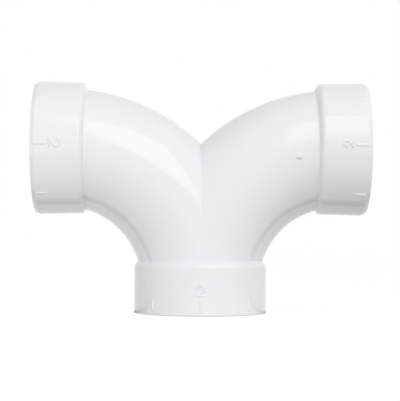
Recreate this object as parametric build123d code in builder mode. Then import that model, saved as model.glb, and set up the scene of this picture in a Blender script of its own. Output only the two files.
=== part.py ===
# Double quarter bend for nominal 2 inch drain pipe: two side hubs whose bends meet over one drop hub.
# Millimetres. +Z up the drop leg, X along the run, origin at the centre of the drop hub's mouth.
import os

from build123d import *

# Pipe and the sockets that take it: the clearance is on the diameter
pipe_od = 60.33
pipe_wall = 3.91
socket_clearance = 0.07
socket_depth = 19.05
socket_lead_in = 0.8

# Layout: each quarter bend, and the straight end between the bend and the mouth
bend_radius = 70.2
straight_length = 15.5

# Walls: the tube round a waterway as wide as the pipe's own bore, and each hub round its socket
tube_wall = 4.65
run_hub_wall = 3.9
drop_hub_wall = 4.1

# Mouths: how much a hub grows in diameter from shoulder to mouth, and the bevel round the mouth
run_hub_flare = 1.1
run_bevel_length = 2.0
run_bevel_drop = 1.0
drop_hub_flare = 0.0
drop_bevel_length = 0.6
drop_bevel_drop = 0.6

# Shoulder behind each hub: full diameter kept past the pipe stop, then a rounded cone down to the tube and into it
run_stop_web = 5.85
run_shoulder_length = 1.5
run_shoulder_round = 3.0
run_foot_fillet = 0.8
drop_stop_web = 6.45
drop_shoulder_length = 2.6
drop_shoulder_round = 4.5
drop_foot_fillet = 2.0
shoulder_root = 4.0

# Raised ticks near each mouth, at these turns from the parting plane, which has none
tick_length = 6.0
tick_width = 1.0
tick_height = 0.45
tick_setback = 2.2
tick_turns = (45, 90, 135, 225, 270, 315)

socket_radius = (pipe_od + socket_clearance) / 2
waterway_radius = pipe_od / 2 - pipe_wall
tube_radius = waterway_radius + tube_wall
centre_to_face = bend_radius + straight_length
pipe_stop = centre_to_face - socket_depth
run_corner = pipe_stop - run_stop_web
drop_corner = pipe_stop - drop_stop_web

# Each leg's plane has its X axis along the leg, out of the mouth, and its Y axis in the parting plane
crossing = (0, 0, centre_to_face)
right_leg = Plane(origin=crossing, x_dir=(1, 0, 0), z_dir=(0, -1, 0))
left_leg = Plane(origin=crossing, x_dir=(-1, 0, 0), z_dir=(0, 1, 0))
drop_leg = Plane(origin=crossing, x_dir=(0, 0, -1), z_dir=(0, -1, 0))
parting_plane = Plane(origin=(0, 0, 0), x_dir=(1, 0, 0), z_dir=(0, -1, 0))


def quarter_bend(radius):
    """The left quarter bend between its two straight ends, filled, at one radius."""
    bend_start = Plane.XY.offset(straight_length)
    bend_end = Plane(origin=(-bend_radius, 0, centre_to_face), z_dir=(-1, 0, 0))
    with BuildPart() as bend:
        with BuildSketch(Plane.XY):
            Circle(radius)
        extrude(amount=straight_length)
        with BuildSketch(bend_start):
            Circle(radius)
        revolve(axis=Axis((-bend_radius, 0, straight_length), (0, -1, 0)), revolution_arc=90)
        with BuildSketch(bend_end):
            Circle(radius)
        extrude(amount=straight_length)
    return bend.part


def solid_hub(leg, wall, flare, bevel_length, bevel_drop, hub_corner, shoulder_length, shoulder_round):
    """A solid hub turned about a leg's axis: shoulder cone, rounded corner, slight flare and bevelled mouth."""
    foot_radius = socket_radius + wall
    mouth_radius = foot_radius + flare / 2
    shoulder_slope = (foot_radius - tube_radius) / shoulder_length
    root_radius = tube_radius - shoulder_root
    root = hub_corner - (foot_radius - root_radius) / shoulder_slope
    with BuildPart() as hub:
        with BuildSketch(leg) as profile:
            with BuildLine():
                Polyline(
                    (root, 0),
                    (root, root_radius),
                    (hub_corner, foot_radius),
                    (centre_to_face - bevel_length, mouth_radius),
                    (centre_to_face, mouth_radius - bevel_drop),
                    (centre_to_face, 0),
                    close=True,
                )
            make_face()
            corner = profile.vertices().sort_by_distance((hub_corner, foot_radius, 0))[0]
            fillet(corner, shoulder_round)
        revolve(axis=Axis(leg.origin, leg.x_dir))
    return hub.part


def hub_ticks(leg, wall, flare, bevel_length, hub_corner):
    """A hub's raised ticks: bars seated in its wall, their tops along its flare at the tick's height."""
    foot_radius = socket_radius + wall
    slope = flare / 2 / (centre_to_face - bevel_length - hub_corner)
    outer_end = centre_to_face - tick_setback
    inner_end = outer_end - tick_length
    seat = socket_radius + wall / 2
    with BuildPart() as bar:
        with BuildSketch(leg):
            with BuildLine():
                Polyline(
                    (inner_end, seat),
                    (inner_end, foot_radius + slope * (inner_end - hub_corner) + tick_height),
                    (outer_end, foot_radius + slope * (outer_end - hub_corner) + tick_height),
                    (outer_end, seat),
                    close=True,
                )
            make_face()
        extrude(amount=tick_width / 2, both=True)
    leg_axis = Axis(leg.origin, leg.x_dir)
    return [bar.part.rotate(leg_axis, turn) for turn in tick_turns]


def socket_core(leg):
    """What the socket leaves open: the pipe's seat down to its stop, with a lead-in at the mouth."""
    with BuildPart() as core:
        with BuildSketch(leg):
            with BuildLine():
                Polyline(
                    (pipe_stop, 0),
                    (pipe_stop, socket_radius),
                    (centre_to_face - socket_lead_in, socket_radius),
                    (centre_to_face, socket_radius + socket_lead_in),
                    (centre_to_face, 0),
                    close=True,
                )
            make_face()
        revolve(axis=Axis(leg.origin, leg.x_dir))
    return core.part


run_mouth = (run_hub_wall, run_hub_flare, run_bevel_length)
drop_mouth = (drop_hub_wall, drop_hub_flare, drop_bevel_length)
run_hub = solid_hub(left_leg, *run_mouth, run_bevel_drop, run_corner, run_shoulder_length, run_shoulder_round)
drop_hub = solid_hub(drop_leg, *drop_mouth, drop_bevel_drop, drop_corner, drop_shoulder_length, drop_shoulder_round)
ticks = hub_ticks(right_leg, *run_mouth, run_corner) + hub_ticks(left_leg, *run_mouth, run_corner)
ticks = ticks + hub_ticks(drop_leg, *drop_mouth, drop_corner)

# The front half of one elbow, cut off at the plane halfway between the side hubs
with BuildPart() as front_elbow:
    add(quarter_bend(tube_radius))
    split(bisect_by=parting_plane, keep=Keep.TOP)
    for hub, foot_fillet in ((run_hub, run_foot_fillet), (drop_hub, drop_foot_fillet)):
        add(hub.split(parting_plane, keep=Keep.TOP))
        foot = front_elbow.edges(Select.NEW).filter_by(lambda edge: edge.bounding_box().size.Y > tube_radius / 2)
        fillet(foot, foot_fillet)
    add(quarter_bend(waterway_radius), mode=Mode.SUBTRACT)
    split(bisect_by=Plane.YZ, keep=Keep.BOTTOM)

# Its mirror images meet it at the parting plane, and at the crotch's crease and the divider inside
with BuildPart() as double_elbow:
    add(front_elbow.part)
    for about in (parting_plane, Plane.YZ):
        add(double_elbow.part.mirror(about), clean=False)
    for leg in (right_leg, left_leg, drop_leg):
        add(socket_core(leg), mode=Mode.SUBTRACT, clean=False)
    add(ticks, clean=False)

double_elbow.part.label = "double_elbow"
os.makedirs("parts", exist_ok=True)
export_step(double_elbow.part, "parts/double_elbow.step")
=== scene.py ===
"""Looks of a white moulded double elbow for drain pipe: one piece, three sockets."""

import bmesh
import bpy
from math import acos, asin, atan2, cos, hypot, pi, radians, sin, sqrt, tan
from mathutils import Matrix, Vector


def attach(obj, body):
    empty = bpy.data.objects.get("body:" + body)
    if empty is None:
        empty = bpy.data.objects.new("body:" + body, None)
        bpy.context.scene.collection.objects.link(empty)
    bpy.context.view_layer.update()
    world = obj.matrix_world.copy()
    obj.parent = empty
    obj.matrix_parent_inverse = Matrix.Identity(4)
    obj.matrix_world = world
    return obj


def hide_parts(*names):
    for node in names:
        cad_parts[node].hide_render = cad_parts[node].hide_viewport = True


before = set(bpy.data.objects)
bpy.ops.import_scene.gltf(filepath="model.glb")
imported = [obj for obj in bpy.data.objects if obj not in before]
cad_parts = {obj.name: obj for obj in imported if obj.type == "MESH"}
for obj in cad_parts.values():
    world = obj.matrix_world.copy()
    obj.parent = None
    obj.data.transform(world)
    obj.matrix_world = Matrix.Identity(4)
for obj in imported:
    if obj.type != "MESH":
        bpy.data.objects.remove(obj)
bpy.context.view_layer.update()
MM = 0.001

# Layout in millimetres, as in the CAD. A place along a leg is measured from the crossing of the axes
R = 70.2                      # bend radius
L0 = 15.5                     # straight end of each leg
H = R + L0                    # crossing of the axes above the drop hub's mouth
TUBE = 30.905                 # outer radius of the tube
BORE = 26.255                 # radius of the waterway
SOCKET = 30.2                 # radius of each socket
LEAD_IN = 0.8                 # bevel inside each mouth
STOP = H - 19.05              # pipe stop, along each leg

# Hubs: radius at the shoulder and the mouth, the mouth's bevel along and across, and the shoulder's corner,
# length, rounding and blend into the tube. The shoulders are a little tighter than the CAD's
RUN = dict(foot=34.1, mouth=34.65, bevel=2.0, drop=1.0,
           corner=STOP - 5.85, shoulder=1.5, round=2.7, blend=0.6)
DROP = dict(foot=34.3, mouth=34.3, bevel=0.4, drop=0.4,
            corner=STOP - 6.45, shoulder=2.3, round=3.9, blend=0.45)
ROOT_DEPTH = 4.0              # how far inside the tube's surface a shoulder cone starts
LEDGE = 0.4                   # how far outside the waterway the stop's last full ring lies
BEVEL_ROUND, RIM_ROUND, LIP_ROUND, LEAD_ROUND, STOP_ROUND = 0.5, 0.35, 0.3, 0.4, 0.5

# Mesh: lines round a tube on either side of the crease, steps along a bend, and where a leg's rings take over
# from the bend, turn fine over the shoulder, turn coarse again and give way to the hub's profile
OUTER_LINES, INNER_LINES, BEND_STEPS = 23, 25, 40
JOIN, SHOULDER_START, SHOULDER_END, RINGS_END = 54.0, 56.5, 63.3, 66.0
COARSE, FINE = 0.5, 0.12
INSIDE = SOCKET + 1.5         # a hub's rings narrower than this follow the lines of the waterway
SEARCH, HALVINGS = (10.0, 60.0), 40   # the range in which tube_at looks, and how often it halves it
WELD_CELLS = 2e4              # cells a millimetre on the grid by which points are welded
CREASE_FOOT = 0.0275          # the crease is crisp from its top down to this height, in metres
SHARP = radians(32)           # any edge that turns by more than this is crisp


def rounded(points, steps=7):
    """A polyline of (s, rho, radius), each corner turned into an arc with a support point beside each end."""
    out = [points[0][:2]]
    for k in range(1, len(points) - 1):
        (ax, ay), (px, py), (bx, by) = points[k - 1][:2], points[k][:2], points[k + 1][:2]
        r = points[k][2]
        la, lb = hypot(ax - px, ay - py), hypot(bx - px, by - py)
        ux, uy, vx, vy = (ax - px) / la, (ay - py) / la, (bx - px) / lb, (by - py) / lb
        inner = acos(max(-1.0, min(1.0, ux * vx + uy * vy)))
        t = r / tan(inner / 2)
        mx, my = ux + vx, uy + vy
        lm = hypot(mx, my)
        cx, cy = px + mx / lm * r / sin(inner / 2), py + my / lm * r / sin(inner / 2)
        a0 = atan2(py + uy * t - cy, px + ux * t - cx)
        a1 = atan2(py + vy * t - cy, px + vx * t - cx)
        turn = (a1 - a0 + pi) % (2 * pi) - pi
        support = t + min(0.4 * r, 0.3)
        out.append((px + ux * support, py + uy * support))
        for n in range(steps + 1):
            a = a0 + turn * n / steps
            out.append((cx + r * cos(a), cy + r * sin(a)))
        out.append((px + vx * support, py + vy * support))
    out.append(points[-1][:2])
    return out


def hub_profile(hub):
    """From inside the tube wall, up the shoulder cone, over the hub and round its mouth into the socket."""
    root = TUBE - ROOT_DEPTH
    slope = (hub["foot"] - TUBE) / hub["shoulder"]
    return rounded([
        (hub["corner"] - (hub["foot"] - root) / slope, root, 0),
        (hub["corner"], hub["foot"], hub["round"]),
        (H - hub["bevel"], hub["mouth"], BEVEL_ROUND),
        (H, hub["mouth"] - hub["drop"], RIM_ROUND),
        (H, SOCKET + LEAD_IN, LIP_ROUND),
        (H - LEAD_IN, SOCKET, LEAD_ROUND),
        (STOP, SOCKET, STOP_ROUND),
        (STOP, BORE + LEDGE, 0),
    ])


def along(profile, s):
    """The hub profile's radius at s, on its way out to the mouth."""
    for (s0, r0), (s1, r1) in zip(profile, profile[1:]):
        if s0 <= s <= s1 and s1 > s0:
            return r0 + (r1 - r0) * (s - s0) / (s1 - s0)
    return profile[0][1]


def tube_at(s, c, r):
    """How far a bent tube is from a leg's axis at s, where c is the cosine of the turn from its outer side."""
    u = R - s
    if u <= 0:
        return r
    lo, hi = SEARCH
    for _ in range(HALVINGS):
        rho = (lo + hi) / 2
        if (hypot(u, R + rho * c) - R) ** 2 + rho * rho * (1 - c * c) < r * r:
            lo = rho
        else:
            hi = rho
    return rho


def smooth_max(a, b, k):
    """The larger of two values, blended where they are less than k apart."""
    h = max(k - abs(a - b), 0.0) / k
    return max(a, b) + h * h * k / 4


def bend_point(alpha, phi, r):
    """A point on the right bend: alpha round the tube from its outer side, and phi along it from the hub."""
    d = R + r * cos(alpha)
    return (R - d * sin(phi), -r * sin(alpha), L0 + d * cos(phi))


def lines(r, u0):
    """Tube angles all round, and the one up to which a line ends on the crease and not in the drop leg."""
    turn = acos((sqrt(R * R + u0 * u0) - R) / r)
    half = [turn * k / OUTER_LINES for k in range(OUTER_LINES)]
    half += [turn + (pi - turn) * k / INNER_LINES for k in range(INNER_LINES + 1)]
    return half + [2 * pi - a for a in reversed(half[1:-1])], turn


def new_piece(name, mesh):
    mesh.shade_smooth()
    piece = bpy.data.objects.new(name, mesh)
    bpy.context.scene.collection.objects.link(piece)
    return piece


class Skin:
    """A mesh made from grids of points that weld where they meet."""

    def __init__(self):
        self.verts = []
        self.faces = []
        self.index = {}

    def at(self, p):
        key = tuple(round(v * WELD_CELLS) for v in p)
        for dx in (0, -1, 1):
            for dy in (0, -1, 1):
                for dz in (0, -1, 1):
                    hit = self.index.get((key[0] + dx, key[1] + dy, key[2] + dz))
                    if hit is not None:
                        return hit
        self.index[key] = len(self.verts)
        self.verts.append(tuple(v * MM for v in p))
        return self.index[key]

    def grid(self, rows):
        ids = [[self.at(p) for p in row] for row in rows]
        for a, b in zip(ids, ids[1:]):
            for k in range(len(a) - 1):
                loop = []
                for v in (a[k], a[k + 1], b[k + 1], b[k]):
                    if v not in loop:
                        loop.append(v)
                if len(loop) > 2:
                    self.faces.append(loop)

    def build(self, name):
        mesh = bpy.data.meshes.new(name)
        mesh.from_pydata(self.verts, [], self.faces)
        mesh.validate()
        bm = bmesh.new()
        bm.from_mesh(mesh)
        bmesh.ops.recalc_face_normals(bm, faces=bm.faces)
        bm.to_mesh(mesh)
        bm.free()
        return new_piece(name, mesh)


def leg_point(leg, s, rho, turn):
    """A point by its place along a leg, distance from the axis, and turn from the outer side of the bend."""
    if leg == "drop":
        return (-rho * cos(turn), -rho * sin(turn), H - s)
    x = s if leg == "right" else -s
    return (x, -rho * sin(turn), H + rho * cos(turn))


def flip(rows):
    return [[(-x, y, z) for x, y, z in row] for row in rows]


def stations(a, b, step):
    n = max(1, round((b - a) / step))
    return [a + (b - a) * k / n for k in range(n)]


body = Skin()
out_lines, out_turn = lines(TUBE, R - JOIN)
in_lines, in_turn = lines(BORE, R - STOP)

# The bends, outside and inside: from a leg's plane to the crease, or round to the drop leg
for angles, turn, r, u0 in ((out_lines, out_turn, TUBE, R - JOIN), (in_lines, in_turn, BORE, R - STOP)):
    rows = []
    for a in angles + angles[:1]:
        d = R + r * cos(a)
        start = asin(u0 / d)
        end = asin(R / d) if cos(a) > cos(turn) else acos(u0 / d)
        rows.append([bend_point(a, start + (end - start) * k / BEND_STEPS, r) for k in range(BEND_STEPS + 1)])
    body.grid(rows)
    body.grid(flip(rows))

# The hubs: rings over the foot and shoulder, then round the mouth, down the socket and in to the bore
rings = stations(JOIN, SHOULDER_START, COARSE) + stations(SHOULDER_START, SHOULDER_END, FINE)
rings += stations(SHOULDER_END, RINGS_END, COARSE)
for leg, hub in (("right", RUN), ("left", RUN), ("drop", DROP)):
    profile = hub_profile(hub)
    beyond = profile[1 + max(k for k, (s, rho) in enumerate(profile) if s < RINGS_END):]
    if leg == "drop":
        # each bend brings half of the drop leg's lines
        outs = [a for a in out_lines if cos(a) <= cos(out_turn) + 1e-9]
        ins = [a for a in in_lines if cos(a) <= cos(in_turn) + 1e-9]
    else:
        outs, ins = out_lines + out_lines[:1], in_lines + in_lines[:1]
    rows = []
    for a, b in zip(outs, ins):
        da, db = R + TUBE * cos(a), R + BORE * cos(b)
        # turns from the bend's outer side, where each line crosses into the leg
        ta = atan2(TUBE * sin(a), sqrt(da * da - (R - JOIN) ** 2) - R)
        tb = atan2(BORE * sin(b), sqrt(db * db - (R - STOP) ** 2) - R)
        row = []
        for s in rings:
            rho = smooth_max(along(profile, s), tube_at(s, cos(ta), TUBE), hub["blend"])
            row.append(leg_point(leg, s, rho, ta))
        for s, rho in beyond:
            row.append(leg_point(leg, s, rho, tb if rho < INSIDE else ta))
        row.append(leg_point(leg, STOP, tube_at(STOP, cos(tb), BORE), tb))
        rows.append(row)
    body.grid(rows)
    if leg == "drop":
        body.grid(flip(rows))

skin = body.build("fitting_body")
bm = bmesh.new()
bm.from_mesh(skin.data)
open_edges = sum(1 for e in bm.edges if len(e.link_faces) != 2)
for e in bm.edges:
    # the crease between the bends stays crisp to its foot, and so do the stop's inner edges
    joined = len(e.link_faces) == 2
    on_crease = all(abs(v.co.x) < 1e-7 for v in e.verts) and e.verts[0].co.z > CREASE_FOOT
    e.smooth = not (joined and (on_crease or e.calc_face_angle(0) > SHARP))
bm.to_mesh(skin.data)
bm.free()
print("body", len(skin.data.vertices), "points", len(skin.data.polygons), "faces, open edges", open_edges)
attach(skin, "root")
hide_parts("double_elbow")


def on_hub(leg, hub, turn, across, s, height):
    """A point at a height over a hub's surface, so far across from a turn from the front, at place s."""
    slope = (hub["mouth"] - hub["foot"]) / (H - hub["bevel"] - hub["corner"])
    rho = hub["foot"] + slope * (s - hub["corner"])
    t = turn + across / rho
    rho += height
    if leg == "drop":
        return Vector((rho * sin(t), -rho * cos(t), H - s)) * MM
    return Vector((s if leg == "right" else -s, -rho * cos(t), H + rho * sin(t))) * MM


def section(*half):
    """A stroke's section from (across, up) shares of its width and height, from its buried foot to its top."""
    return [(-x, h) for x, h in half] + [(0.0, 1.02)] + [(x, h) for x, h in reversed(half)]


# The figures' strokes are steep and the ticks are sloped
STEEP = section((0.68, -0.12), (0.6, 0.0), (0.5, 0.35), (0.4, 0.85), (0.28, 1.0))
SLOPED = section((0.93, -0.15), (0.82, 0.0), (0.6, 0.36), (0.38, 0.78), (0.2, 0.97))
# A stroke's end: how far along its cap, and the shares of its height and width that are left there
ENDING = ((1.0, -0.12, 0.55), (0.8, 0.15, 0.72), (0.45, 0.8, 0.93), (0.0, 1.0, 1.0))
STROKE_STEP = 0.35


def heading(path, k, f):
    """The direction of a path at share f of its stretch k, turning evenly through its corners."""
    last = len(path) - 2
    here, ahead = Vector(path[k]), Vector(path[k + 1])
    first = here if k == 0 else Vector(path[k - 1])
    after = ahead if k == last else Vector(path[k + 2])
    return (ahead - first).normalized().lerp((after - here).normalized(), f).normalized()


def ridge(bm, leg, hub, turn, path, height, shape=STEEP, cap=0.35):
    """A raised stroke along path, whose points are (across, s), with rounded sides and ends."""
    lengths = [0.0]
    for p, q in zip(path, path[1:]):
        lengths.append(lengths[-1] + hypot(q[0] - p[0], q[1] - p[1]))
    total = lengths[-1]
    n = max(2, round(total / STROKE_STEP))
    marks = [(0.0, -far * cap, lift, narrow) for far, lift, narrow in ENDING]
    marks += [(total * k / n, 0.0, 1.0, 1.0) for k in range(1, n)]
    marks += [(total, far * cap, lift, narrow) for far, lift, narrow in reversed(ENDING)]
    rows = []
    for place, past, lift, narrow in marks:
        k = max(i for i in range(len(path) - 1) if lengths[i] <= place + 1e-9)
        f = (place - lengths[k]) / (lengths[k + 1] - lengths[k])
        d = heading(path, k, f)
        a = path[k][0] + f * (path[k + 1][0] - path[k][0]) + d[0] * past
        s = path[k][1] + f * (path[k + 1][1] - path[k][1]) + d[1] * past
        row = []
        for x, h in shape:
            across, up = x * narrow, h * height * (lift if h > 0 else 1.0)
            row.append(bm.verts.new(on_hub(leg, hub, turn, a - d[1] * across, s + d[0] * across, up)))
        rows.append(row)
    for p, q in zip(rows, rows[1:]):
        for k in range(len(p) - 1):
            bm.faces.new((p[k], p[k + 1], q[k + 1], q[k]))


def finish_marks(bm, name):
    mesh = bpy.data.meshes.new(name)
    bmesh.ops.recalc_face_normals(bm, faces=bm.faces)
    bm.to_mesh(mesh)
    bm.free()
    piece = new_piece(name, mesh)
    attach(piece, "root")
    return piece


# Alignment ticks: those on the side hubs' upper front came out of the mould fainter than the rest
TICK_TURNS, TICK_ENDS = (0, 45, -45, 135, 180, -135), (2.5, 7.9)
TICK_HEIGHT, FAINT_HEIGHT, TICK_CAP = 0.42, 0.16, 0.3
bm = bmesh.new()
for leg, hub in (("left", RUN), ("right", RUN), ("drop", DROP)):
    for turn in TICK_TURNS:
        height = FAINT_HEIGHT if turn == 45 and leg != "drop" else TICK_HEIGHT
        ridge(bm, leg, hub, radians(turn), [(0.0, H - end) for end in TICK_ENDS], height, SLOPED, TICK_CAP)
ticks = finish_marks(bm, "alignment_ticks")

BOW_START, BOW_SWEEP, BOW_STEPS = 175, 205, 12


def figure_two(wide, tall, foot, sign):
    """The two strokes of a 2, its base at s = foot towards the mouth, as (across, s) points."""
    w = wide / 2
    r = w * 0.98
    bow = [(-w * 0.97, foot - tall * 0.70)]
    for k in range(BOW_STEPS + 1):
        a = radians(BOW_START - BOW_SWEEP * k / BOW_STEPS)
        bow.append((r * cos(a), foot - (tall - r) - r * sin(a)))
    bow.append((-w * 0.9, foot - 0.25))
    return [[(sign * x, s) for x, s in stroke] for stroke in (bow, [(-w, foot), (w, foot)])]


# Figures: leg, hub, facing, turn in degrees, width, height, place of the foot, and how far they stand out
bm = bmesh.new()
for leg, hub, sign, turn, wide, tall, foot, height in (
        ("left", RUN, -1, 1.1, 3.9, 5.4, H - 9.75, 0.4),
        ("right", RUN, 1, 1.2, 3.2, 4.6, H - 10.0, 0.4),
        ("drop", DROP, 1, 0.0, 3.9, 5.2, H - 10.35, 0.28)):
    for path in figure_two(wide, tall, foot, sign):
        ridge(bm, leg, hub, radians(turn), path, height)
figures = finish_marks(bm, "size_figures")

# A dome's rings, from its skirt to its top: shares of its reach and of its height
DOME = ((1.12, -0.3), (1.0, 0.0), (0.92, 0.45), (0.78, 0.8), (0.55, 0.97), (0.25, 1.0))
DOME_SIDES = 24


def dome(bm, seat, reach, breadth, height):
    """A low dome at a seat, its skirt sunk into the surface, longest along the seat's way."""
    centre, normal, way = seat
    side = normal.cross(way)
    rows = []
    for share, up in DOME:
        row = []
        for k in range(DOME_SIDES):
            a = 2 * pi * k / DOME_SIDES
            spread = (way * reach * cos(a) + side * breadth * sin(a)) * share
            row.append(bm.verts.new((centre + spread + normal * up * height) * MM))
        rows.append(row)
    for p, q in zip(rows, rows[1:]):
        for k in range(DOME_SIDES):
            n = (k + 1) % DOME_SIDES
            bm.faces.new((p[k], p[n], q[n], q[k]))
    bm.faces.new(rows[-1])


def bend_seat(alpha, phi):
    """A point on the right bend's outside, the surface's normal there, and the level way along the surface."""
    a, f = radians(alpha), radians(phi)
    here = Vector(bend_point(a, f, TUBE))
    normal = (Vector(bend_point(a, f, TUBE + 1.0)) - here).normalized()
    return here, normal, Vector((0, 0, 1)).cross(normal).normalized()


def hub_seat(leg, hub, turn, s):
    """A point on a hub, the surface's normal there, and the way along the leg."""
    here = on_hub(leg, hub, radians(turn), 0.0, s, 0.0) / MM
    normal = (on_hub(leg, hub, radians(turn), 0.0, s, 1.0) / MM - here).normalized()
    way = (on_hub(leg, hub, radians(turn), 0.0, s + 1.0, 0.0) / MM - here).normalized()
    return here, normal, (way - normal * way.dot(normal)).normalized()


# The gate's stub on the right bend with the rough scar where it broke off, and two small pips on the hubs. The
# scar's darker grey is painted shade on the stub's lower side, over rough torn plastic
bm = bmesh.new()
dome(bm, bend_seat(93.9, 17.96), 1.7, 1.65, 0.28)
dome(bm, hub_seat("left", RUN, 43.8, 73.0), 1.4, 1.1, 0.15)
dome(bm, hub_seat("right", RUN, 41.3, 81.7), 0.9, 0.8, 0.3)
gate = finish_marks(bm, "gate_stub_and_pips")
bm = bmesh.new()
dome(bm, bend_seat(95.4, 18.35), 1.65, 0.7, 0.36)
scar = finish_marks(bm, "gate_scar_painted_shade")


class Nodes:
    """The nodes of a material or world, fed with numbers and with the outputs of others."""

    # where a Mix node keeps each kind's first and second value and its result
    MIX_PLACES = {"FLOAT": (2, 3, 0), "RGBA": (6, 7, 2)}

    def __init__(self, owner, clear=True):
        owner.use_nodes = True
        self.tree = owner.node_tree
        if clear:
            self.tree.nodes.clear()

    def make(self, kind, **inputs):
        node = self.tree.nodes.new("ShaderNode" + kind)
        for name, value in inputs.items():
            self.feed(node.inputs[name.replace("_", " ")], value)
        return node

    def feed(self, socket, value):
        if isinstance(value, bpy.types.NodeSocket):
            self.tree.links.new(value, socket)
        else:
            socket.default_value = value

    def math(self, operation, *values):
        node = self.make("Math")
        node.operation = operation
        for socket, value in zip(node.inputs, values):
            self.feed(socket, value)
        return node.outputs[0]

    def mix(self, kind, share, first, second):
        node = self.make("Mix")
        node.data_type = kind
        a, b, result = self.MIX_PLACES[kind]
        for place, value in ((0, share), (a, first), (b, second)):
            self.feed(node.inputs[place], value)
        return node.outputs[result]

    def span(self, value, low, high, at_low, at_high):
        """A value carried from low and high over to at_low and at_high, and kept between them."""
        return self.make("MapRange", Value=value, From_Min=low, From_Max=high,
                         To_Min=at_low, To_Max=at_high).outputs["Result"]

    def axes(self, coordinates):
        coords = self.make("TexCoord")
        return self.make("SeparateXYZ", Vector=coords.outputs[coordinates]).outputs

    def studio_rays(self):
        """Whether a ray comes from the camera, and whether it does or is one in gloss or through glass."""
        rays = self.make("LightPath").outputs
        clear = self.math("MAXIMUM", rays["Is Glossy Ray"], rays["Is Transmission Ray"])
        return rays["Is Camera Ray"], self.math("MAXIMUM", rays["Is Camera Ray"], clear)


# The plastic's noises, each by scale and detail: cloudiness, gloss, shallow waves and fine grain
CLOUDS, GLOSS, WAVES, GRAIN = (22.0, 2.0), (60.0, 3.0), (45.0, 1.0), (900.0, 2.0)
CLOUD_SHADE = 0.985
NOISE_LOW, NOISE_HIGH = 0.3, 0.7


def white_plastic(name, colour, rough):
    """Moulded plastic, not quite even in colour and gloss, with waves and grain too shallow to model."""
    mat = bpy.data.materials.new(name)
    nodes = Nodes(mat, clear=False)
    place = nodes.make("TexCoord").outputs["Object"]

    def noise(scale, detail):
        return nodes.make("TexNoise", Vector=place, Scale=scale, Detail=detail).outputs["Fac"]

    cloudy = (*[c * CLOUD_SHADE for c in colour], 1)
    waves = nodes.make("Bump", Strength=0.12, Distance=0.0006, Height=noise(*WAVES))
    grain = nodes.make("Bump", Strength=0.05, Distance=0.00005, Height=noise(*GRAIN),
                       Normal=waves.outputs["Normal"])
    uneven = nodes.span(noise(*GLOSS), NOISE_LOW, NOISE_HIGH, rough - 0.02, rough + 0.03)
    surface = nodes.tree.nodes["Principled BSDF"].inputs
    nodes.feed(surface["IOR"], 1.53)
    nodes.feed(surface["Base Color"], nodes.mix("RGBA", noise(*CLOUDS), cloudy, (*colour, 1)))
    nodes.feed(surface["Roughness"], uneven)
    nodes.feed(surface["Normal"], grain.outputs["Normal"])
    return mat


plastic = white_plastic("white_plastic", (0.865, 0.865, 0.878), 0.09)
for piece in (skin, ticks, figures, gate):
    piece.data.materials.append(plastic)
# the scar: rough torn plastic in a darker grey that is painted shade on the gate stub's lower side
scar.data.materials.append(white_plastic("torn_plastic_painted_shade", (0.64, 0.64, 0.65), 0.4))
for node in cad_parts.values():
    node.data.materials.clear()
    node.data.materials.append(plastic)

# Floor: white to the camera and in gloss, with a share of real light so that it keeps a shadow. What it
# throws back on the object comes more from the left. In gloss, a strip under the side hubs holds a painted
# shadow: dark near its middle and clear further away. The floor's sizes and places are in metres
FLOOR_SIZE, FLOOR_DROP = 6.0, 0.00005
WHITE_SHARE, WHITE_GLOW = 0.85, 1.11
STRIP_MIDDLE, STRIP_DARK, STRIP_CLEAR = 0.0037, 0.009, 0.013
LEFT, RIGHT, LEFT_SHADE, RIGHT_SHADE = -0.06, 0.1, 0.83, 0.6

bpy.ops.mesh.primitive_plane_add(size=FLOOR_SIZE, location=(0, 0, -FLOOR_DROP))
floor = bpy.context.object
floor.name = "floor"
floor_white = bpy.data.materials.new("floor_white")
nodes = Nodes(floor_white)
camera_ray, studio = nodes.studio_rays()
place = nodes.axes("Object")
# painted shadow for gloss rays: the floor's white glow fades out in a fixed strip under the side hubs
away = nodes.math("ABSOLUTE", nodes.math("SUBTRACT", place["Y"], STRIP_MIDDLE))
clear_of_painted_shadow = nodes.math("MAXIMUM", nodes.span(away, STRIP_DARK, STRIP_CLEAR, 0.0, 1.0), camera_ray)
lit = nodes.make("BsdfDiffuse", Color=nodes.span(place["X"], LEFT, RIGHT, LEFT_SHADE, RIGHT_SHADE))
glow = nodes.make("Emission", Strength=nodes.math("MULTIPLY", clear_of_painted_shadow, WHITE_GLOW))
mixed = nodes.make("MixShader", Fac=nodes.math("MULTIPLY", studio, WHITE_SHARE))
nodes.feed(mixed.inputs[1], lit.outputs[0])
nodes.feed(mixed.inputs[2], glow.outputs[0])
nodes.make("OutputMaterial", Surface=mixed.outputs[0])
floor.data.materials.append(floor_white)

# World: white behind the object and in its gloss; the light on it is even, with more from the front and right
EVEN_LIGHT, FROM_FRONT, FROM_RIGHT = 0.22, 1.11, 0.565
world = bpy.data.worlds.new("studio")
bpy.context.scene.world = world
nodes = Nodes(world)
_, studio = nodes.studio_rays()
toward = nodes.axes("Generated")
light = EVEN_LIGHT
for axis, sign, strength in (("Y", -1.0, FROM_FRONT), ("X", 1.0, FROM_RIGHT)):
    half = nodes.math("MAXIMUM", nodes.math("MULTIPLY", toward[axis], sign), 0.0)
    light = nodes.math("MULTIPLY_ADD", half, strength, light)
back = nodes.make("Background", Color=(1, 1, 1, 1), Strength=nodes.mix("FLOAT", studio, light, 1.0))
nodes.make("OutputWorld", Surface=back.outputs[0])

MIDDLE = Vector((0, 0, 0.07))   # what the soft boxes face, in metres


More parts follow.
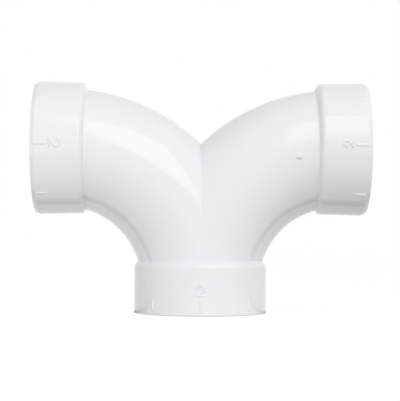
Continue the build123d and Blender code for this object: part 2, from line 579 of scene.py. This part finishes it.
def softbox(name, azimuth, elevation, away, wide, tall, radiance):
    """A soft box facing the object's middle, azimuth from the front towards the right, in degrees."""
    a, e = radians(azimuth), radians(elevation)
    way = Vector((sin(a) * cos(e), -cos(a) * cos(e), sin(e)))
    data = bpy.data.lights.new(name, "AREA")
    data.shape = "RECTANGLE"
    data.size, data.size_y = wide, tall
    data.energy = radiance * wide * tall * pi
    lamp = bpy.data.objects.new(name, data)
    bpy.context.scene.collection.objects.link(lamp)
    lamp.location = MIDDLE + way * away
    lamp.rotation_euler = (-way).to_track_quat("-Z", "Y").to_euler()


softbox("key_upper_right", 19.4, 38.2, 1.0, 0.70, 0.62, 1.34)
softbox("fill_low_left", -50.0, -2.0, 0.35, 0.30, 0.08, 0.71)

# Camera: 0.69 m away, a little above the floor and looking slightly up. Its place from the crossing of the
# axes, along its own axes, is in pixels of a picture this high, each as wide as PIXEL at the object
PICTURE_HEIGHT, SENSOR_HEIGHT = 401.0, 36.0
PIXEL = 0.5236 * MM
ASIDE, BELOW, AWAY = 0.804, 51.763, 1319.13
yaw, pitch, roll = radians(0.678), radians(-1.601), radians(0.304)
right = Vector((cos(roll) * cos(yaw) + sin(roll) * sin(pitch) * sin(yaw),
                -cos(roll) * sin(yaw) + sin(roll) * sin(pitch) * cos(yaw), sin(roll) * cos(pitch)))
up = Vector((-sin(roll) * cos(yaw) + cos(roll) * sin(pitch) * sin(yaw),
             sin(roll) * sin(yaw) + cos(roll) * sin(pitch) * cos(yaw), cos(roll) * cos(pitch)))
ahead = Vector((cos(pitch) * sin(yaw), cos(pitch) * cos(yaw), -sin(pitch)))
spot = Vector((0, 0, H * MM)) - (ASIDE * right + BELOW * up + AWAY * ahead) * PIXEL
cam = bpy.data.cameras.new("camera")
cam.sensor_fit = "VERTICAL"
cam.sensor_height = SENSOR_HEIGHT
cam.lens = AWAY * SENSOR_HEIGHT / PICTURE_HEIGHT
cam.clip_start, cam.clip_end = 0.01, 20
camera = bpy.data.objects.new("camera", cam)
bpy.context.scene.collection.objects.link(camera)
camera.matrix_world = Matrix((
    (right.x, up.x, -ahead.x, spot.x),
    (right.y, up.y, -ahead.y, spot.y),
    (right.z, up.z, -ahead.z, spot.z),
    (0, 0, 0, 1)))
bpy.context.scene.camera = camera
bpy.context.scene.view_settings.view_transform = "Standard"
